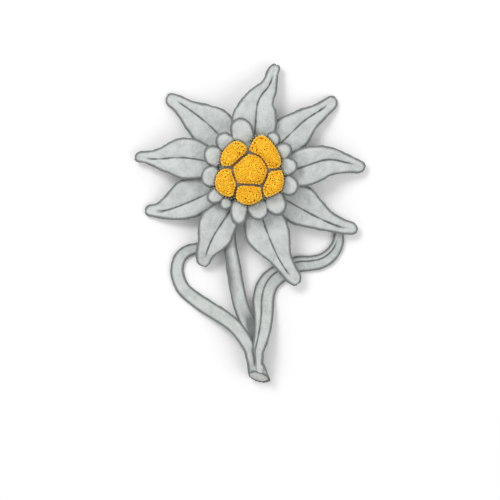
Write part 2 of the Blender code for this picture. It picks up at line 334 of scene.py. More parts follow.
def noise(tree, vector, scale, detail=2.0):
    """A noise texture at this scale, as a value."""
    node = tree.nodes.new("ShaderNodeTexNoise")
    feed(node, "Vector", vector)
    feed(node, "Scale", scale)
    feed(node, "Detail", detail)
    return node.outputs["Fac"]


HAIR_DRAWN_OUT = 6.0
HAIR_TURNS = ((0.3, 0.2, 0.5), (-0.6, 0.4, 1.6), (0.5, -0.7, 2.7))

wool_group, wool_in, wool_out = new_group(
    "matted_wool",
    [("Vector", "NodeSocketVector", None), ("Hairs per metre", "NodeSocketFloat", 3000.0)],
    [("Height", "NodeSocketFloat"), ("Light hairs", "NodeSocketFloat")],
)
highest = None
for hair_turn in HAIR_TURNS:
    turned = wool_group.nodes.new("ShaderNodeMapping")
    feed(turned, "Vector", wool_in.outputs["Vector"])
    turned.vector_type = "TEXTURE"
    feed(turned, "Rotation", hair_turn)
    feed(turned, "Scale", (1, HAIR_DRAWN_OUT, 1))
    hairs = wool_group.nodes.new("ShaderNodeTexNoise")
    feed(hairs, "Vector", turned.outputs["Vector"])
    feed(hairs, "Scale", wool_in.outputs["Hairs per metre"])
    feed(hairs, "Detail", 2.0)
    feed(hairs, "Distortion", 0.6)
    fac = hairs.outputs["Fac"]
    highest = fac if highest is None else math_node(wool_group, "MAXIMUM", highest, fac)
feed(wool_out, "Height", highest)
feed(wool_out, "Light hairs", ramp(wool_group, highest, 0.5, 0.72))
print("group", wool_group.name, "nodes", len(wool_group.nodes))

# %% [markdown]
# ## The felts
# The skin of the plant is grey-green, and the wool over it is silver white. Where the wool is
# worn thin, on the rims and down the midrib, the darker skin shows. Each blade stores how far
# every point is from its rim and from its midrib, and the material turns that into thin wool. The
# stalk and the receptacle use the same midrib mask for painted shade, which mixes towards that
# dark skin colour.

# %% Felt materials
def mix(tree, mask, first, second):
    """A colour mixed from two colours or sockets by a mask."""
    node = tree.nodes.new("ShaderNodeMix")
    node.data_type = "RGBA"
    feed(node, "Factor", mask)
    for label, value in (("A", first), ("B", second)):
        k = [i.name == label and i.type == "RGBA" for i in node.inputs].index(True)
        feed(node, k, (*value, 1) if isinstance(value, tuple) else value)
    return [o for o in node.outputs if o.type == "RGBA"][0]


def stored(tree, name):
    """The number that a piece stores under this name."""
    node = tree.nodes.new("ShaderNodeAttribute")
    node.attribute_name = name
    return node.outputs["Fac"]


def relief(tree, shader, height, depth, strength=1.0):
    """Let a height lift the surface by up to this depth in millimetres."""
    bump = tree.nodes.new("ShaderNodeBump")
    feed(bump, "Strength", strength)
    feed(bump, "Distance", depth * MM)
    feed(bump, "Height", height)
    feed(shader, "Normal", bump.outputs["Normal"])


PATCHES_PER_METRE = 420.0
RAGS_PER_METRE = 1500.0
RAGGED_BY = 0.16
LIGHT_HAIR_GAIN = 1.16
LIGHT_HAIR_SHARE = 0.55
BARE_SHARE = 0.9
WOOL_RELIEF = 0.12


def felt(name, thick, thin, bare, hairs_per_metre, rim_width):
    """A woolly finish: thick and thin wool in patches, and bare skin on rim and midrib; on the
    stalk and receptacle the midrib mask brings the bare colour in as painted shade.
    """
    made, tree, shader, place = new_finish(name, 0.92, 0.15)
    wool = tree.nodes.new("ShaderNodeGroup")
    wool.node_tree = wool_group
    feed(wool, "Vector", place)
    feed(wool, "Hairs per metre", hairs_per_metre)
    patches = ramp(tree, noise(tree, place, PATCHES_PER_METRE, 3.0), 0.38, 0.66)
    colour = mix(tree, patches, thick, thin)
    light = tuple(c * LIGHT_HAIR_GAIN for c in thick)
    hair_mask = math_node(tree, "MULTIPLY", wool.outputs["Light hairs"], LIGHT_HAIR_SHARE)
    colour = mix(tree, hair_mask, colour, light)
    ragged = math_node(tree, "MULTIPLY", noise(tree, place, RAGS_PER_METRE), RAGGED_BY)
    edge = math_node(tree, "ADD", stored(tree, "rim_distance"), ragged)
    rim = math_node(tree, "SUBTRACT", 1.0, ramp(tree, edge, rim_width * 0.45, rim_width * 1.15))
    bare_and_shade_mask = math_node(tree, "MAXIMUM", rim, stored(tree, "midrib"))
    bare_and_shade_mask = math_node(tree, "MULTIPLY", bare_and_shade_mask, BARE_SHARE)
    colour = mix(tree, bare_and_shade_mask, colour, bare)
    feed(shader, "Base Color", colour)
    feed(shader, "Sheen Weight", 0.2)
    feed(shader, "Sheen Roughness", 0.45)
    relief(tree, shader, wool.outputs["Height"], WOOL_RELIEF, 0.55)
    return made


# Thick wool, thin wool, bare skin that also colours painted shade, hairs per metre and the width of
# the bare rim in millimetres
white_felt = felt("white_felt", (0.545, 0.57, 0.56), (0.455, 0.482, 0.47), (0.13, 0.142, 0.138),
                  3200.0, 0.74)
green_felt = felt("green_felt", (0.53, 0.555, 0.54), (0.43, 0.46, 0.44), (0.13, 0.143, 0.137),
                  2600.0, 0.72)
print("felts", white_felt.name, green_felt.name)

# %% [markdown]
# ## A blade, cut flat and then bent
# Bracts and leaves are all blades: thin, longer than wide, with a midrib. A blade could be pulled
# point by point in its final place, but its outline is easier to judge while it lies straight. So
# a strip is sized row by row like a paper pattern, given its relief and thickness, and only then
# bent along a curve that runs through the midrib's points.

# %% Blade tools
STATIONS = (0.0, 0.2, 0.4, 0.55, 0.7, 0.85, 1.0)
NEAR = 0.02 * MM


def width_at(widths, share):
    """The half width in millimetres at this share of a blade's length."""
    for k, (low, high) in enumerate(zip(STATIONS, STATIONS[1:])):
        if share <= high:
            return through(widths, (k + (share - low) / (high - low)) / (len(widths) - 1)).x
    return widths[-1]


def guide_curve(points, tilts=None):
    """A smooth curve through points given in metres, to bend a straight piece along."""
    data = bpy.data.curves.new("guide", "CURVE")
    data.dimensions = "3D"
    data.twist_mode = "Z_UP"
    data.resolution_u = 16
    spline = data.splines.new("BEZIER")
    spline.bezier_points.add(len(points) - 1)
    for k, point in enumerate(points):
        knot = spline.bezier_points[k]
        knot.co = point
        knot.handle_left_type = knot.handle_right_type = "AUTO"
        if tilts:
            knot.tilt = tilts[k]
    made = bpy.data.objects.new("guide", data)
    scene.collection.objects.link(made)
    bpy.context.view_layer.update()
    return made, spline.calc_length()


def bend(piece, guide):
    """Bend a straight piece, which lies along +X from the origin, along the guide."""
    modify(piece, "CURVE", object=guide, deform_axis="POS_X")
    bpy.data.objects.remove(guide)


# How far the wool stands out past the skin all round
WOOL = 0.22

# A blade's crown: how far out from the midrib, and how much of the crown's height
CROWN_SHAPE = ((0.33, 0.75), (0.5, 1.0), (0.67, 0.9))
BLADE_COLUMNS = 6

# How far the last rows stand from a blade's end, and their widths, as shares of the tip's radius
TIP_ROWS = ((0.5, 0.87), (0.14, 0.54), (0.0, 0.16))


def strip(name, rows, length, left, right, crown):
    """A straight blade along +X, sized row by row, its halves raised by crown between the midrib
    and the rims (in shares of the half width)."""
    body = rows - len(TIP_ROWS)
    tip = ((left[-1] + right[-1]) / 2 + WOOL) / (length / MM)
    shares = [(1 - tip) * k / body for k in range(body + 1)]
    shares += [1 - back * tip for back, _ in TIP_ROWS]
    piece = fresh("grid", name, x_subdivisions=rows, y_subdivisions=BLADE_COLUMNS, size=2 * MM)
    edit(piece)
    for part, raised in CROWN_SHAPE:
        pick(lambda v: abs(abs(v.co.y) / MM - part) < 0.09)
        bpy.ops.transform.translate(value=(0, 0, raised * crown * MM))
    for k, share in reversed(list(enumerate(shares))):
        start = (2 * k / rows - 1) * MM
        place = share * length
        pick(lambda v: abs(v.co.x - start) < NEAR)
        bpy.ops.transform.translate(value=(place - start, 0, 0))
        into_tip = k - body - 1
        tip_part = TIP_ROWS[into_tip][1] if into_tip >= 0 else 1.0
        for widths, side in ((left, 1), (right, -1)):
            size = (width_at(widths, share) + WOOL) * tip_part
            pick(lambda v: abs(v.co.x - place) < NEAR and v.co.y * side > NEAR)
            resize((1, size, size), (place, 0, 0))
    return piece


print("blade tools ready, stations", STATIONS)

# %% [markdown]
# ## The nine star bracts
# Each bract has a wide middle, a narrow waist and a round end, and no two have the same outline.
# They grow in two rounds: five in front and four behind. The widths on each side of the midrib are
# the pattern that the strip is sized by.

# %% Bract patterns
LOWER_Z = 4.1
UPPER_Z = 5.7

# name: (root height, tip height, droop power, midrib points, widths left, widths right)
BRACTS = {
    "north": (
        UPPER_Z, 1.6, 2.4, ((0.4, 3.6), (1.1, 9.2), (1.8, 15.4), (4.25, 19.1), (5.75, 23.35)),
        (1.6, 4.6, 5.3, 3.3, 1.85, 1.5, 1.3), (1.6, 4.2, 4.5, 3.6, 2.5, 0.9, 1.2),
    ),
    "north_east": (
        LOWER_Z, 0.42, 2.2, ((2.6, 2.6), (7.3, 6.8), (11.8, 11.1), (15.8, 13.8), (18.7, 16.0)),
        (1.2, 3.1, 4.15, 2.95, 1.9, 1.35, 1.3), (1.2, 3.1, 4.15, 3.5, 2.4, 1.75, 1.4),
    ),
    "east": (
        UPPER_Z, 1.3, 2.4, ((3.8, -0.6), (10.1, 0.6), (16.6, 2.6), (20.9, 2.1), (24.95, 1.0)),
        (1.5, 3.2, 4.0, 3.25, 2.2, 1.45, 1.0), (1.5, 3.5, 4.3, 3.8, 3.1, 1.85, 1.2),
    ),
    "south_east": (
        LOWER_Z, 1.5, 2.4, ((3.1, -2.6), (7.0, -5.6), (14.2, -9.7), (19.5, -12.0), (23.3, -12.9)),
        (1.3, 3.4, 5.0, 3.7, 2.3, 1.8, 1.6), (1.3, 2.85, 3.75, 2.8, 1.9, 1.25, 0.85),
    ),
    "south_right": (
        UPPER_Z, 2.3, 3.0, ((1.7, -3.9), (2.8, -10.4), (5.6, -17.6), (7.9, -21.6), (10.3, -24.5)),
        (1.4, 3.9, 4.9, 4.15, 2.75, 2.2, 1.85), (1.4, 3.4, 4.85, 3.6, 1.75, 1.25, 1.1),
    ),
    "south_left": (
        UPPER_Z, 1.7, 3.2,
        ((-1.9, -3.9), (-4.5, -8.7), (-7.8, -13.8), (-9.4, -17.4), (-10.0, -20.6)),
        (1.3, 2.2, 3.2, 3.8, 3.2, 1.4, 1.0), (1.3, 2.8, 4.45, 4.5, 2.6, 2.05, 1.55),
    ),
    "south_west": (
        LOWER_Z, 0.42, 2.2,
        ((-3.4, -2.0), (-9.5, -4.9), (-14.5, -7.1), (-19.1, -8.6), (-22.8, -8.6)),
        (1.3, 2.9, 3.3, 3.4, 2.5, 1.2, 0.9), (1.3, 3.0, 4.6, 5.05, 3.4, 1.85, 1.05),
    ),
    "west": (
        UPPER_Z, 1.5, 2.4, ((-3.9, 0.6), (-10.1, 2.4), (-15.4, 3.1), (-20.3, 2.8), (-25.0, 3.1)),
        (1.5, 3.2, 4.45, 4.35, 2.75, 1.0, 0.85), (1.5, 2.7, 4.35, 4.15, 2.58, 1.6, 1.2),
    ),
    "north_west": (
        LOWER_Z, 0.42, 2.2,
        ((-2.6, 2.6), (-7.1, 8.4), (-11.1, 12.0), (-15.2, 15.0), (-18.05, 16.5)),
        (1.2, 3.6, 4.6, 4.2, 3.05, 2.0, 1.6), (1.2, 3.4, 4.85, 3.8, 2.1, 1.35, 1.25),
    ),
}
print("bract patterns", len(BRACTS))

# %% [markdown]
# A bract is sized as a strip, and its midrib is bevelled into a groove and pressed in. Solidify
# gives it the thickness of its wool, and Subdivision Surface rounds the rims. Then every point
# notes its distance from the rim, measured on the flat pattern, before the bract is bent. The
# rim's points are found row by row, and round the tip as the farthest point in each direction.

# %% Groove and rims
GROOVE_HALF_WIDTH = 0.3
GROOVE_DEPTH = 0.42
BLADE_THICKNESS = 0.6
RIM_STEP = 0.25
TIP_REACH = 1.2
MIDRIB_CLEAR = 0.3
MIDRIB_HALF_WIDTH = 0.24
MIDRIB_FADES_OVER = 1.5


def groove_and_thicken(piece, length, ends_at, depth, level):
    """Bevel the middle line of the strip that is being edited, press it in, and give the strip
    its thickness and rounded rims."""
    def on_midrib(v):
        return abs(v.co.y) < NEAR and v.co.x < ends_at * length

    pick(lambda e: all(on_midrib(v) for v in e.verts), "EDGE")
    bpy.ops.mesh.bevel(offset=GROOVE_HALF_WIDTH * MM, segments=2, affect="EDGES")
    pick(lambda v: abs(v.co.y) < NEAR and 0.1 * length < v.co.x < ends_at * length)
    bpy.ops.transform.translate(value=(0, 0, -depth * MM))
    leave()
    modify(piece, "SOLIDIFY", thickness=BLADE_THICKNESS * MM, offset=0.0)
    smooth(piece, level)


def note_rims(piece, length, ends_at, rib_strength, melts_over=0.01, outer_side=0):
    """Store each point's distance from the rim in millimetres, and how near the midrib it is.
    The UV map is the flat pattern itself, in millimetres."""
    flat = places(piece) / MM
    along, across = flat[:, 0], flat[:, 1]
    tip = np.flatnonzero(along > along.max() - TIP_REACH)
    rim = []
    for angle in np.radians(np.arange(-90, 91, 5)):
        farthest = tip[(along[tip] * math.cos(angle) + across[tip] * math.sin(angle)).argmax()]
        rim.append((along[farthest], across[farthest]))
    for stop in np.arange(along.min(), along.max(), RIM_STEP):
        here = np.flatnonzero(np.abs(along - stop) < RIM_STEP * 1.6)
        for at in (here[across[here].argmax()], here[across[here].argmin()]):
            if abs(across[at]) > MIDRIB_CLEAR:
                rim.append((along[at], across[at]))
    rim = np.array(rim)
    gap = np.hypot(along[:, None] - rim[None, :, 0], across[:, None] - rim[None, :, 1]).min(axis=1)
    melted = np.clip(1 - along / melts_over, 0, 1) * (across * outer_side < 0.4)
    note(piece, "rim_distance", gap + 2 * melted)
    fade = np.clip((ends_at * length / MM - along) / MIDRIB_FADES_OVER, 0, 1)
    fade = fade * (1 - melted)
    line = np.clip(1.25 - np.abs(across) / MIDRIB_HALF_WIDTH, 0, 1)
    note(piece, "midrib", rib_strength * fade * line)
    corners = np.empty(len(piece.data.loops), dtype=np.int32)
    piece.data.loops.foreach_get("vertex_index", corners)
    piece.data.uv_layers[0].data.foreach_set("uv", flat[corners, :2].ravel())


print("rims are traced every", RIM_STEP, "mm")

# %% [markdown]
# A bract's midrib lies on its plan and sinks ever faster towards the tip.

# %% Bracts
BRACT_ROWS = 16
BRACT_CROWN = 0.13
MIDRIB_ENDS_AT = 0.88
DROOP_STEPS = 10


def droop_line(root_z, tip_z, power, points):
    """The midrib in space, as places in metres."""
    points = [(*point, 0) for point in points]
    plan = [through(points, k / DROOP_STEPS) for k in range(DROOP_STEPS + 1)]
    run = run_along(plan)
    return [
        star(spot.x, spot.y, root_z + (tip_z - root_z) * (walked / run[-1]) ** power)
        for spot, walked in zip(plan, run)
    ]


def make_bract(name, root_z, tip_z, power, points, left, right):
    """One bract of the star."""
    guide, length = guide_curve(droop_line(root_z, tip_z, power, points))
    length += WOOL * MM
    piece = strip("star_bract_" + name, BRACT_ROWS, length, left, right, BRACT_CROWN)
    groove_and_thicken(piece, length, MIDRIB_ENDS_AT, GROOVE_DEPTH, 3)
    note_rims(piece, length, MIDRIB_ENDS_AT, 1.0)
    bend(piece, guide)
    lumps(piece, 2.2, 0.5, "soft_hollows")
    lumps(piece, 0.7, 0.12, "wool_lumps")
    hand_over(piece, white_felt, "bract_" + name)
    return piece


bracts = [make_bract(name, *pattern) for name, pattern in BRACTS.items()]
print("bracts", len(bracts), "faces each", [len(b.data.polygons) for b in bracts])

# %% [markdown]
# ## The two stem leaves
# A stem leaf clasps the stalk at its root and then runs out as a narrow band. It is a blade like
# the bracts, but it rolls round the stalk, so its guide curve is tilted at the root.

# %% Leaf patterns
LYING_Z = 0.52

# name: (midrib points, roll at the root in degrees, widths left, widths right, midrib strength,
# side whose rim shows down to the root). The right leaf is narrow by the stalk at its root.
LEAVES = {
    "left": (
        ((0.5, -44.4, 3.2), (0.42, -42.6, 3.5), (0.2, -40.9, 3.75), (-0.6, -38.0, 3.6),
         (-4.0, -33.4, 2.7), (-11.0, -28.75, 0.7), (-14.75, -25.5, LYING_Z),
         (-16.1, -21.6, LYING_Z), (-14.9, -18.1, LYING_Z), (-11.5, -16.6, LYING_Z),
         (-5.0, -16.5, LYING_Z)),
        -31, (0.85, 1.28, 1.5, 1.38, 1.22, 0.9, 0.4), (0.95, 1.4, 1.58, 1.42, 1.3, 1.15, 0.5),
        0.0, 1,
    ),
    "right": (
        ((1.6, -44.4, 3.75), (1.45, -42.6, 3.95), (1.3, -40.9, 4.1), (1.2, -39.2, 4.05),
         (1.85, -36.0, 3.2), (2.45, -31.8, 1.9), (2.55, -28.4, 0.9), (3.05, -25.7, 0.55),
         (4.2, -23.5, LYING_Z), (6.2, -21.8, LYING_Z), (9.9, -19.9, LYING_Z),
         (13.1, -19.6, LYING_Z), (15.8, -19.0, LYING_Z), (17.9, -17.4, LYING_Z),
         (19.0, -15.5, LYING_Z), (19.3, -13.6, LYING_Z), (19.2, -11.8, LYING_Z)),
        27, (-0.05, 0.88, 1.86, 1.4, 1.0, 0.9, 0.5), (1.05, 2.32, 2.55, 2.6, 2.1, 1.85, 0.8),
        1.0, 0,
    ),
}
print("leaf patterns", list(LEAVES))

# %% [markdown]
# The left leaf is plain, so its groove and crown have no strength. Both leaves melt into the
# stalk over the last two millimetres, where their rims and midribs fade.

# %% Leaves
LEAF_ROWS = 34
LEAF_CROWN = 0.12
LEAF_GROOVE_DEPTH = GROOVE_DEPTH * 0.7
LEAF_RIB_ENDS_AT = 0.93
CLASP_SHARE = 0.22
ROOT_MELTS_OVER = 2.2


def make_leaf(name, points, root_roll, left, right, rib_strength, rim_side):
    """One stem leaf."""
    line = [star(*through(points, k / LEAF_ROWS)) for k in range(LEAF_ROWS + 1)]
    run = run_along(line)
    tilts = [-math.radians(root_roll) * max(1 - r / run[-1] / CLASP_SHARE, 0) for r in run]
    guide, length = guide_curve(line, tilts)
    crown = LEAF_CROWN * rib_strength
    piece = strip("stem_leaf_" + name, LEAF_ROWS, length, left, right, crown)
    depth = LEAF_GROOVE_DEPTH * rib_strength
    groove_and_thicken(piece, length, LEAF_RIB_ENDS_AT, depth, 2)
    note_rims(piece, length, LEAF_RIB_ENDS_AT, rib_strength, ROOT_MELTS_OVER, rim_side)
    bend(piece, guide)
    lumps(piece, 2.2, 0.25, "soft_hollows")
    lumps(piece, 0.7, 0.1, "wool_lumps")
    hand_over(piece, green_felt, "leaf_" + name)
    return piece


leaves = [make_leaf(name, *pattern) for name, pattern in LEAVES.items()]
print("leaves", [(leaf.name, len(leaf.data.polygons)) for leaf in leaves])

# %% [markdown]
# ## The stalk
# The stalk is a round, ribbed, woolly stem that thickens at the old joint where it was cut. It is
# a cylinder cut into rings, sized ring by ring and bent along its guide. A bevelled curve would
# be quicker, but it can't carry the ribs.

# %% Stalk
# Centre line as x, y, height and radius, from the cut end to the star
STALK = (
    (2.05, -46.8, 2.7, 2.8), (1.75, -44.2, 2.35, 2.2), (1.4, -41.8, 1.95, 1.6),
    (1.1, -39.2, 1.65, 1.45), (0.4, -35.9, 1.7, 1.65), (-0.8, -32.6, 1.8, 1.78),
    (-2.0, -29.3, 1.85, 1.8), (-2.9, -25.3, 1.93, 1.78), (-3.8, -19.8, 2.33, 1.68),
    (-4.4, -15.6, 2.65, 1.5), (-4.4, -11.9, 2.75, 1.38), (-3.5, -7.9, 2.8, 1.38),
    (-1.8, -4.0, 2.9, 1.45), (-0.3, -1.2, 3.3, 1.6),
)
STALK_STEPS = 28
STALK_RINGS = 40
STALK_SIDES = 16
RIB_DEPTH = 0.07

stalk_facts = [through(STALK, k / STALK_STEPS) for k in range(STALK_STEPS + 1)]
stalk_guide, stalk_length = guide_curve([star(*fact[:3]) for fact in stalk_facts])
stalk_run = run_along([Vector(fact[:3]) for fact in stalk_facts])
stalk_radii = [fact[3] for fact in stalk_facts]


def stalk_radius(share):
    """The stalk's radius in millimetres at this share of its length."""
    return float(np.interp(share * stalk_run[-1], stalk_run, stalk_radii))


stalk = fresh(
    "cylinder", "stalk", vertices=STALK_SIDES, radius=MM,
    depth=stalk_length, end_fill_type="NGON", location=(stalk_length / 2, 0, 0),
    rotation=(0, math.pi / 2, 0),
)
settle(stalk)
edit(stalk)
pick(lambda e: abs(e.verts[0].co.x - e.verts[1].co.x) > stalk_length / 2, "EDGE")
bpy.ops.mesh.subdivide(number_cuts=STALK_RINGS - 1)
for k in range(STALK_RINGS + 1):
    place = k / STALK_RINGS * stalk_length
    size = stalk_radius(k / STALK_RINGS)
    pick(lambda v: abs(v.co.x - place) < NEAR)
    resize((1, size, size), (place, 0, 0))
side_turn = math.tau / STALK_SIDES
pick(lambda v: round(math.atan2(v.co.z, v.co.y) / side_turn) % 2 == 0)
bpy.ops.transform.shrink_fatten(value=-RIB_DEPTH * MM)
leave()
smooth(stalk, 2)
print("stalk length in mm", round(stalk_length / MM, 1), "faces", len(stalk.data.polygons))

# %% [markdown]
# Shade is painted into the stalk's colour in two places: on the right side in the fork, where a
# leaf parts from the stalk, and on the left side under the star. There the midrib mask mixes the
# wool towards the dark bare-skin colour. Both are noted on the straight tube, where the sides are
# easy to tell, and then the tube is bent.

# %% Painted shade on the stalk
FORK_AT = 0.205
FORK_SPREAD = 0.1
FORK_SHADE_STRENGTH = 3.2
SHADE_STARTS_AT = 0.36
SHADE_GROWS_OVER = 0.15
UNDER_STAR_SHADE_STRENGTH = 0.95

straight = places(stalk) / MM
share_along = straight[:, 0] * MM / stalk_length
across_at = np.array([stalk_radius(share) for share in share_along])
# The stalk's two sides, as seen from above, count as its rims and darken to the bare-skin colour:
# an outline that is also painted shade for the stalk's roundness
note(stalk, "rim_distance", np.clip(across_at * 0.97 - np.abs(straight[:, 1]), 0, None))
right_side = np.clip((0.8 - straight[:, 1]) / 1.0, 0, 1)
fork_shade = np.exp(-((share_along - FORK_AT) / FORK_SPREAD) ** 2) * right_side
left_side = np.clip((straight[:, 1] + 0.3) / 1.4, 0, 1)
under_star_shade = np.clip((share_along - SHADE_STARTS_AT) / SHADE_GROWS_OVER, 0, 1) * left_side
# The midrib mask carries painted shade here: a shadow in the fork and shade under the star
note(stalk, "midrib", np.clip(FORK_SHADE_STRENGTH * fork_shade + UNDER_STAR_SHADE_STRENGTH * under_star_shade, 0, 1))
bend(stalk, stalk_guide)
lumps(stalk, 1.6, 0.16, "stalk_hollows")
lumps(stalk, 0.7, 0.12, "wool_lumps")
# The count is of the points with painted shade in the fork
print("worn points at the fork", int((fork_shade > 0.5).sum()))

# %% [markdown]
# At the top the stem swells into the receptacle, a disc that carries the whole star. All of it is
# darkened towards the bare-skin colour as painted shade, so that its upper side shows dark between
# the golden heads. It is drawn up from one round face.

# %% Receptacle
# The receptacle's outer side as radius and height
RECEPTACLE = (
    (1.5, 2.3), (2.3, 3.2), (2.6, 4.2), (2.6, 6.6), (6.0, 7.0), (6.8, 8.0), (6.8, 9.0),
    (6.0, 10.2), (4.0, 10.7),
)
FAR_FROM_RIM = 9.0
RECEPTACLE_SHADE = 0.7


def draw_up(rings, middle):
    """Extrude the selected face up through rings given as size and height, and close the body."""
    for (size, height), (next_size, next_height) in zip(rings, rings[1:]):
        bpy.ops.mesh.extrude_region_move(
            TRANSFORM_OT_translate={"value": (0, 0, (next_height - height) * MM)}
        )
        ratio = next_size / size
        resize((ratio, ratio, 1), middle)
    bpy.ops.mesh.select_all(action="SELECT")
    bpy.ops.mesh.normals_make_consistent(inside=False)


receptacle = fresh(
    "circle", "receptacle", vertices=24, radius=RECEPTACLE[0][0] * MM,
    fill_type="NGON", location=star(0, 0, RECEPTACLE[0][1]),
)
settle(receptacle)
edit(receptacle)
bpy.ops.mesh.select_all(action="SELECT")
draw_up(RECEPTACLE, star(0, 0))
leave()
smooth(receptacle, 3)
point_count = len(receptacle.data.vertices)
note(receptacle, "rim_distance", np.full(point_count, FAR_FROM_RIM))
# The midrib mask carries painted shade over the whole receptacle
note(receptacle, "midrib", np.full(point_count, RECEPTACLE_SHADE))
lumps(receptacle, 1.2, 0.4, "receptacle_wool")
hand_over(receptacle, green_felt, "stem")
print("receptacle points", point_count)

# %% [markdown]
# The stem is cut on a slant, and a cut stem shows its skin, its flesh and its pale pith. All
# three are matt and slightly mottled.

# %% Cut finishes
def plain_finish(name, light, dark, grains_per_metre, rough, depth):
    """A matt plant surface in two mixed tones, with a fine bump."""
    made, tree, shader, place = new_finish(name, rough, 0.25)
    grain = noise(tree, place, grains_per_metre, 3.0)
    feed(shader, "Base Color", mix(tree, ramp(tree, grain, 0.35, 0.65), light, dark))
    relief(tree, shader, grain, depth)
    return made


cut_flesh = plain_finish("cut_flesh", (0.56, 0.57, 0.54), (0.49, 0.50, 0.47), 2500.0, 0.6, 0.05)
cut_pith = plain_finish("cut_pith", (0.66, 0.665, 0.64), (0.58, 0.585, 0.56), 4000.0, 0.8, 0.08)
cut_skin = plain_finish("cut_skin", (0.14, 0.15, 0.145), (0.105, 0.115, 0.11), 3000.0, 0.7, 0.03)
print("cut finishes", cut_flesh.name, cut_pith.name, cut_skin.name)

# %% [markdown]
# Bisect slices the stalk and fills the slice. The slice is then drawn in ring by ring: first the
# skin, which is thicker on the lower side, then two rings of flesh that sink a little as they
# dry, and last the pith.

# %% The cut end
CUT_PLACE = (1.92, -45.07, 2.5)
CUT_SLANT = Vector((-0.23, -0.9, 0.4)).normalized()
FLESH, PITH, SKIN = 1, 2, 3

# Material, size and sink in millimetres of each ring, from the outside in
CUT_RINGS = ((SKIN, 0.83, 0.0), (FLESH, 0.7, -0.05), (FLESH, 0.9, -0.08), (PITH, 0.5, -0.04))

edit(stalk)
bpy.ops.mesh.select_all(action="SELECT")
bpy.ops.mesh.bisect(plane_co=star(*CUT_PLACE), plane_no=CUT_SLANT, use_fill=True, clear_outer=True)
leave()
hand_over(stalk, green_felt, "stem")
for finish in (cut_flesh, cut_pith, cut_skin):
    stalk.data.materials.append(finish)
edit(stalk)
pick(lambda f: len(f.verts) > 12, "FACE")
slice_up = (Vector((0, 1, 0)) - CUT_SLANT * CUT_SLANT.y).normalized()
for slot, size, sink in CUT_RINGS:
    edge = [v.co.copy() for v in bmesh.from_edit_mesh(stalk.data).verts if v.select]
    towards = sum(edge, Vector()) / len(edge)
    if slot == SKIN:
        upper_side = max((spot - towards).dot(slice_up) for spot in edge)
        towards = towards + slice_up * upper_side * 0.8
    bpy.ops.mesh.extrude_region_move(TRANSFORM_OT_translate={"value": CUT_SLANT * sink * MM})
    resize((size, size, size), towards)
    bpy.ops.mesh.select_more()
    stalk.active_material_index = slot
    bpy.ops.object.material_slot_assign()
    bpy.ops.mesh.select_less()
leave()

# The wool is worn thin along the edge of the cut too
from_cut = -(places(stalk) - np.array(star(*CUT_PLACE))) @ np.array(CUT_SLANT) / MM
edge_store = stalk.data.attributes["rim_distance"].data
edge_was = np.empty(len(edge_store))
edge_store.foreach_get("value", edge_was)
edge_store.foreach_set("value", np.minimum(edge_was, np.abs(from_cut)).astype(np.float32))
slots = [face.material_index for face in stalk.data.polygons]
print("faces of flesh, pith and skin", [slots.count(slot) for slot in (FLESH, PITH, SKIN)])

# %% [markdown]
# ## The ring of woolly scales
# Round the golden heads sits a ring of small, thickly woolled scales, like little pillows. Each
# is a ball with a flattened top and a broader foot on the side of the heads, stretched, turned
# and made lumpy. Its wool thins towards its outline, which is found in 32 directions.

# %% Woolly scales
SCALE_Z = 8.2
SCALE_HALF_HEIGHT = 1.5
SCALE_WAYS = 32
FLAT_TOP_WITHIN = 0.6
FLAT_TOP = (1.12, 1.12, 0.9)
FOOT_FROM = 0.3
BROAD_FOOT = (1.22, 1.22, 1.0)

# Clockwise from the top: centre x, y, half length, half width, turn in degrees, any lift
SCALES = (
    (-1.8, 8.95, 3.1, 2.65, 112), (4.95, 7.0, 1.95, 1.8, 60, -0.5),
    (7.4, 4.6, 2.0, 1.85, 35), (8.5, 1.15, 2.05, 2.05, 5),
    (8.6, -3.15, 2.2, 2.3, -15), (5.75, -7.05, 2.8, 2.4, -74),
    (1.8, -8.4, 2.4, 2.35, -80), (-2.45, -8.9, 3.15, 2.0, -90),
    (-5.35, -7.05, 1.5, 1.45, -125, -0.3), (-7.7, -5.35, 1.95, 1.8, -140),
    (-8.7, -1.15, 2.15, 2.5, -178), (-8.1, 3.4, 2.55, 2.15, 107),
    (-5.55, 6.65, 2.15, 2.1, 130),
)


def make_scale(number, x, y, half_length, half_width, turn, lift=0.0):
    """One woolly scale."""
    piece = fresh("uv_sphere", f"scale_{number:02d}", segments=16, ring_count=10, radius=MM)
    edit(piece)
    pick(lambda v: math.hypot(v.co.x, v.co.y) < FLAT_TOP_WITHIN * MM and v.co.z > 0)
    resize(FLAT_TOP)
    inward = Vector((-x, -y, 0)).normalized()
    inward.rotate(Euler((0, 0, -math.radians(turn))))
    pick(lambda v: v.co.dot(inward) > FOOT_FROM * MM)
    resize(BROAD_FOOT, inward * FOOT_FROM * MM)
    leave()
    smooth(piece, 2)
    unit = places(piece) / MM
    out = np.hypot(unit[:, 0], unit[:, 1])
    way = np.round(np.arctan2(unit[:, 1], unit[:, 0]) / math.tau * SCALE_WAYS) % SCALE_WAYS
    edge = np.array([out[way == k].max() for k in range(SCALE_WAYS)])
    note(piece, "rim_distance", (edge[way.astype(int)] - out) * half_width)
    note(piece, "midrib", np.zeros(len(unit)))
    piece.scale = (half_length, half_width, SCALE_HALF_HEIGHT)
    piece.rotation_euler = (0, 0, math.radians(turn))
    piece.location = star(x, y, SCALE_Z + lift)
    settle(piece)
    lumps(piece, 1.1, 0.35, "scale_hollows")
    lumps(piece, 0.5, 0.12, "scale_wool")
    hand_over(piece, white_felt, f"woolly_scale_{number:02d}")
    return piece


scales = [make_scale(number, *facts) for number, facts in enumerate(SCALES, 1)]
print("scales", len(scales), "faces each", len(scales[0].data.polygons))

# %% [markdown]
# ## The golden heads
# What looks like the middle of one flower is six flower heads. Each is a cushion packed with tiny
# tube florets, held in a cup of small scales, so that dark lines part the heads. Each outline is
# given by its corners, and these are cut off and cut off again until the line is round.

# %% Head outlines
HEAD_EQUATOR_Z = 10.2
HEAD_DOME = 2.4
FULLNESS = 0.7
CORNER_CUTS = (0.14, 0.25, 0.25)

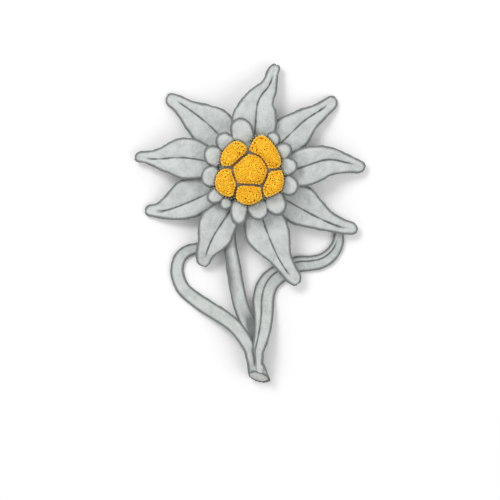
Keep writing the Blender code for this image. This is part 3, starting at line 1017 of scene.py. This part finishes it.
# name: (centre, corners of the outline in order)
HEADS = {
    "centre": (
        (0.0, 0.3),
        ((-0.35, 4.1), (1.1, 3.9), (2.5, 3.2), (3.5, 1.9), (4.05, 0.4), (3.6, -1.3), (2.6, -3.2),
         (0.1, -2.9), (-2.8, -2.9), (-3.5, -1.2), (-4.1, 0.85), (-2.3, 2.6)),
    ),
    "upper_left": (
        (-3.7, 3.7),
        ((-0.45, 4.3), (-0.5, 5.6), (-1.9, 6.8), (-3.25, 7.05), (-4.6, 6.2), (-6.25, 4.35),
         (-6.75, 2.3), (-6.5, 1.1), (-5.3, 0.95), (-4.15, 0.95), (-2.3, 2.7)),
    ),
    "upper_right": (
        (3.6, 4.3),
        ((-0.4, 4.2), (-0.4, 5.1), (0.3, 6.8), (1.4, 8.0), (2.7, 8.3), (3.95, 7.6), (5.8, 5.4),
         (7.05, 2.9), (6.95, 1.05), (5.8, 0.45), (4.05, 0.25), (3.3, 2.0), (2.0, 3.4), (0.7, 4.0)),
    ),
    "right": (
        (5.3, -2.6),
        ((4.05, 0.15), (5.8, 0.4), (6.9, 0.8), (7.5, -0.6), (7.6, -2.4), (7.05, -4.3),
         (5.1, -5.4), (3.15, -6.05), (2.6, -4.3), (2.6, -3.3), (3.65, -1.5)),
    ),
    "bottom": (
        (-0.3, -5.1),
        ((-2.8, -2.9), (0.1, -2.9), (2.5, -3.3), (2.7, -4.6), (3.05, -6.0), (1.4, -7.1),
         (-0.1, -7.6), (-1.9, -7.15), (-3.4, -6.15), (-3.3, -4.6)),
    ),
    "left": (
        (-5.4, -2.4),
        ((-4.15, 0.85), (-5.35, 0.95), (-6.55, 0.6), (-7.55, -0.8), (-7.9, -2.4), (-7.65, -3.9),
         (-6.45, -5.15), (-5.0, -5.7), (-3.6, -5.8), (-3.25, -4.3), (-2.75, -2.8), (-3.5, -1.1)),
    ),
}


def outline_of(centre, corners):
    """A head's outline round its centre, with the corners cut off three times to round them."""
    line = np.array(corners) - np.array(centre)
    for cut in CORNER_CUTS:
        ahead = np.roll(line, -1, axis=0)
        line = np.stack([(1 - cut) * line + cut * ahead, cut * line + (1 - cut) * ahead], axis=1)
        line = line.reshape(-1, 2)
    return line


print("heads", list(HEADS))

# %% [markdown]
# The outer florets follow the outline, so it is stepped along evenly and drawn in. The inner
# line is looked for from the outside in, along rays from the centre.

# %% Lines on a head
def evenly(line, spacing):
    """Points about this far apart along a closed line."""
    closed = np.vstack([line, line[:1]])
    run = np.concatenate([[0], np.hypot(*np.diff(closed, axis=0).T).cumsum()])
    stops = np.linspace(0, run[-1], round(run[-1] / spacing), endpoint=False)
    return np.stack([np.interp(stops, run, closed[:, k]) for k in (0, 1)], axis=1)


def reach(line, angle):
    """How far out a closed line runs from the centre in this direction."""
    ways = np.arctan2(line[:, 1], line[:, 0])
    return float(np.interp(angle, ways, np.hypot(line[:, 0], line[:, 1]), period=math.tau))


def inset_line(line, depth):
    """The line that runs this deep inside a closed line."""
    dense = evenly(line, 0.1)
    inner = []
    for angle in np.radians(np.arange(0, 360, 3)):
        ray = reach(line, angle) * np.linspace(1, 0, 120)[:, None]
        spots = ray * [math.cos(angle), math.sin(angle)]
        gaps = np.linalg.norm(spots[:, None] - dense[None], axis=2).min(axis=1)
        inner.append(spots[np.argmax(gaps >= depth)])
    return np.array(inner)


def dome_height(share):
    """How high the cushion stands at this share of the way out to its outline."""
    spread = min(share, 1.0) ** (1 / FULLNESS)
    return HEAD_EQUATOR_Z + HEAD_DOME * math.sqrt(1 - spread ** 2)


print("top of a head at", dome_height(0))

# %% [markdown]
# An open floret, a closed one and a scale of the cup are modelled once each and then copied. Only
# their tops show, so they have a few faces each.

# %% One floret, one bud and one cup scale
FLORET_LENGTH = 1.3
CUP_SCALE_LENGTH = 2.6
CUP_SCALE_RADIUS = 0.42
CUP_SCALE_FLATNESS = 0.3


def model_floret(name, sides, radius, spread, rise, steps):
    """A floret that stands at the origin, its top resized, raised and then stepped inwards."""
    piece = fresh(
        "cylinder", name, vertices=sides, radius=radius * MM,
        depth=FLORET_LENGTH * MM, location=(0, 0, -FLORET_LENGTH / 2 * MM),
    )
    settle(piece)
    edit(piece)
    pick(lambda f: f.normal.z > 0.9, "FACE")
    resize((spread, spread, 1))
    for inwards, upwards in ((0.0, rise), *steps):
        if inwards:
            bpy.ops.mesh.inset(thickness=inwards * MM)
        bpy.ops.transform.translate(value=(0, 0, upwards * MM))
    leave()
    return piece


# The open floret's five lips spread and its throat sinks in; the bud ends in a round top
floret_pattern = model_floret("open_floret", 5, 0.22, 1.7, 0.0, ((0.12, 0.1), (0.05, -0.3)))
bud_pattern = model_floret("bud", 6, 0.33, 1.0, -0.12, ((0.07, 0.13), (0.1, 0.05)))
cup_scale_pattern = fresh(
    "cone", "cup_scale", vertices=6, radius1=CUP_SCALE_RADIUS * MM,
    radius2=0.0, depth=CUP_SCALE_LENGTH * MM, location=(0, 0, -CUP_SCALE_LENGTH / 2 * MM),
)
cup_scale_pattern.scale = (1, CUP_SCALE_FLATNESS, 1)
settle(cup_scale_pattern)
print("floret faces", len(floret_pattern.data.polygons), "bud", len(bud_pattern.data.polygons))

# %% [markdown]
# The gold is brightest on the lips of a floret and deepens to orange in its throat. The shader
# reads how high up a floret each point is, and a tone that differs from one floret to the next.

# %% Floret finish
gold_florets, tree, shader, place = new_finish("gold_florets", 0.62, 0.3)
tone = mix(tree, stored(tree, "tone"), (0.95, 0.50, 0.014), (0.98, 0.62, 0.035))
up = ramp(tree, stored(tree, "height"), -0.45, -0.02)
feed(shader, "Base Color", mix(tree, up, (0.82, 0.38, 0.011), tone))
relief(tree, shader, noise(tree, place, 5000.0), 0.03)
floret_bed = plain_finish("floret_bed", (0.84, 0.42, 0.014), (0.74, 0.35, 0.012), 2200.0, 0.8, 0.05)
cup_brown = plain_finish("cup_brown", (0.42, 0.40, 0.34), (0.30, 0.28, 0.23), 2600.0, 0.8, 0.05)
print("finishes", gold_florets.name, cup_brown.name)

# %% [markdown]
# One row of florets follows the outline, which keeps it as crisp as it is on the plant. Inside
# it they start on a sunflower's spiral, and are pushed apart step by step until they sit evenly.

# %% Where the florets stand
FLORET_SPACING = 0.68
FLORET_MARGIN = 0.46
SPIRAL_CROWDING = 1.6
PUSHES = 30
PUSH_SHARE = 0.4


def push(here, other):
    """How far a floret is pushed away from one that stands too near."""
    apart = here - other
    return apart.normalized() * max(FLORET_SPACING - apart.length, 0.0) * PUSH_SHARE


def spots_on_head(outline):
    """Each floret's place and its share of the way out to the outline."""
    border = [Vector(spot) for spot in evenly(inset_line(outline, FLORET_MARGIN), FLORET_SPACING)]
    inner = inset_line(outline, FLORET_MARGIN + 0.8 * FLORET_SPACING)
    around = np.roll(inner, -1, axis=0)
    area = abs(np.sum(inner[:, 0] * around[:, 1] - inner[:, 1] * around[:, 0])) / 2
    count = int(area / FLORET_SPACING ** 2 * SPIRAL_CROWDING) + 4
    inside = []
    for k in range(count):
        angle = k * math.pi * (3 - math.sqrt(5))
        out = reach(inner, angle) * math.sqrt((k + 0.5) / count)
        inside.append(Vector((out * math.cos(angle), out * math.sin(angle))))
    for _ in range(PUSHES):
        for k, here in enumerate(inside):
            for other in inside[:k]:
                step = push(here, other)
                here += step
                other -= step
            for other in border:
                here += push(here, other)
        for here in inside:
            most = reach(inner, math.atan2(here.y, here.x))
            if here.length > most:
                here *= most / here.length
    return [
        (here.x, here.y, here.length / reach(outline, math.atan2(here.y, here.x)))
        for here in border + inside
    ]


print("florets stand", FLORET_SPACING, "mm apart")

# %% [markdown]
# Every copy gets a mesh of its own, a size and a turn of its own, and leans outwards as the
# cushion falls away. The cup scales stand round the outline with their flat sides to the head.

# %% Copies on a head
MOST_LEAN = 0.75
LEAN_POWER = 2.5
CUP_LEAN = 0.12
CUP_SCALE_TOP = 11.2


def copy_of(pattern):
    """A copy with a mesh of its own."""
    piece = pattern.copy()
    piece.data = pattern.data.copy()
    scene.collection.objects.link(piece)
    return piece


def stand_on_head(pattern, centre, x, y, share, size, turn, tone):
    """A copy of a pattern, standing on the cushion and leaning outwards with it."""
    piece = copy_of(pattern)
    note(piece, "height", places(pattern)[:, 2] / MM)
    note(piece, "tone", [tone] * len(piece.data.vertices))
    lean = MOST_LEAN * share ** LEAN_POWER
    outward = Vector((x, y, 0)).normalized() * math.sin(lean) + Vector((0, 0, math.cos(lean)))
    piece.rotation_mode = "QUATERNION"
    piece.rotation_quaternion = outward.to_track_quat("Z", "Y") @ Quaternion((0, 0, 1), turn)
    piece.scale = (size, size, 1)
    piece.location = star(centre[0] + x, centre[1] + y, dome_height(share))
    return piece


def stand_in_cup(centre, here, angle):
    """A cup scale on the head's outline, its flat side to the head and its tip leaning in."""
    piece = copy_of(cup_scale_pattern)
    piece.rotation_euler = (CUP_LEAN, 0, angle - math.pi / 2)
    piece.location = star(centre[0] + here[0], centre[1] + here[1], CUP_SCALE_TOP)
    return piece


def join(pieces, name):
    """Join copies into one piece, its place written into its mesh."""
    joined = pieces[0]
    alone(joined)
    for piece in pieces:
        piece.select_set(True)
    bpy.ops.object.join()
    joined.rotation_mode = "XYZ"
    settle(joined)
    joined.name = joined.data.name = name
    return joined


print("florets lean out by up to", MOST_LEAN, "radians")

# %% [markdown]
# The cushion under the florets starts as a round face with one corner for each millimetre of the
# outline. Each corner is moved to its place, and the face is then drawn up through rings.

# %% Cushions
BED_STARTS_AT = 10.75

# The cushion's rings from the bottom up, as share of the outline and height
CUSHION_RINGS = ((0.72, 8.3), (0.9, 9.3), (0.95, 10.3), (0.9, 10.9), (0.7, 11.5))


def make_cushion(name, centre, outline):
    """The cup and cushion under the florets, drawn up from one face."""
    line = evenly(outline, 1.0)
    middle = star(*centre, CUSHION_RINGS[0][1])
    piece = fresh(
        "circle", "head_cushion_" + name, vertices=len(line), radius=MM,
        fill_type="NGON", location=middle,
    )
    settle(piece)
    edit(piece)
    spokes = sorted(
        (v.co.copy() for v in piece.data.vertices),
        key=lambda spoke: math.atan2(spoke.y - middle.y, spoke.x - middle.x),
    )
    for spoke, (x, y) in zip(spokes, sorted(line.tolist(), key=lambda c: math.atan2(c[1], c[0]))):
        pick(lambda v: (v.co - spoke).length < NEAR)
        bpy.ops.transform.translate(value=middle + Vector((x, y, 0)) * MM - spoke)
    bpy.ops.mesh.select_all(action="SELECT")
    resize((CUSHION_RINGS[0][0],) * 3, middle)
    draw_up(CUSHION_RINGS, middle)
    leave()
    smooth(piece, 2)
    hand_over(piece, cup_brown, "flower_head_" + name)
    piece.data.materials.append(floret_bed)
    edit(piece)
    piece.active_material_index = 1
    pick(lambda f: f.calc_center_median().z > BED_STARTS_AT * MM, "FACE")
    bpy.ops.object.material_slot_assign()
    leave()
    return piece


print("a cushion is drawn up through", len(CUSHION_RINGS), "rings")

# %% [markdown]
# Now the heads are put together. A head's florets are joined into one piece, and so are its cup
# scales. A third of the florets are still closed buds.

# %% Heads
BUD_SHARE = 0.35
CUP_MARGIN = 0.08
CUP_SCALE_SPACING = 0.62


def make_head(name, centre, corners):
    """One flower head: its cushion, its florets and the small scales round it."""
    draw = random.Random(name)
    outline = outline_of(centre, corners)
    make_cushion(name, centre, outline)
    florets = []
    for x, y, share in spots_on_head(outline):
        pattern = bud_pattern if draw.random() < BUD_SHARE else floret_pattern
        florets.append(stand_on_head(
            pattern, centre, x, y, share, draw.uniform(0.92, 1.12), draw.uniform(0, 6.28),
            draw.random(),
        ))
    cup = [
        stand_in_cup(centre, spot, math.atan2(spot[1], spot[0]))
        for spot in evenly(inset_line(outline, CUP_MARGIN), CUP_SCALE_SPACING)
    ]
    node = "flower_head_" + name
    hand_over(join(cup, "cup_scales_" + name), cup_brown, node)
    hand_over(join(florets, "florets_" + name), gold_florets, node)
    return len(florets)


counts = {name: make_head(name, *facts) for name, facts in HEADS.items()}
for pattern in (floret_pattern, bud_pattern, cup_scale_pattern):
    bpy.data.objects.remove(pattern)
print("florets in each head", counts)
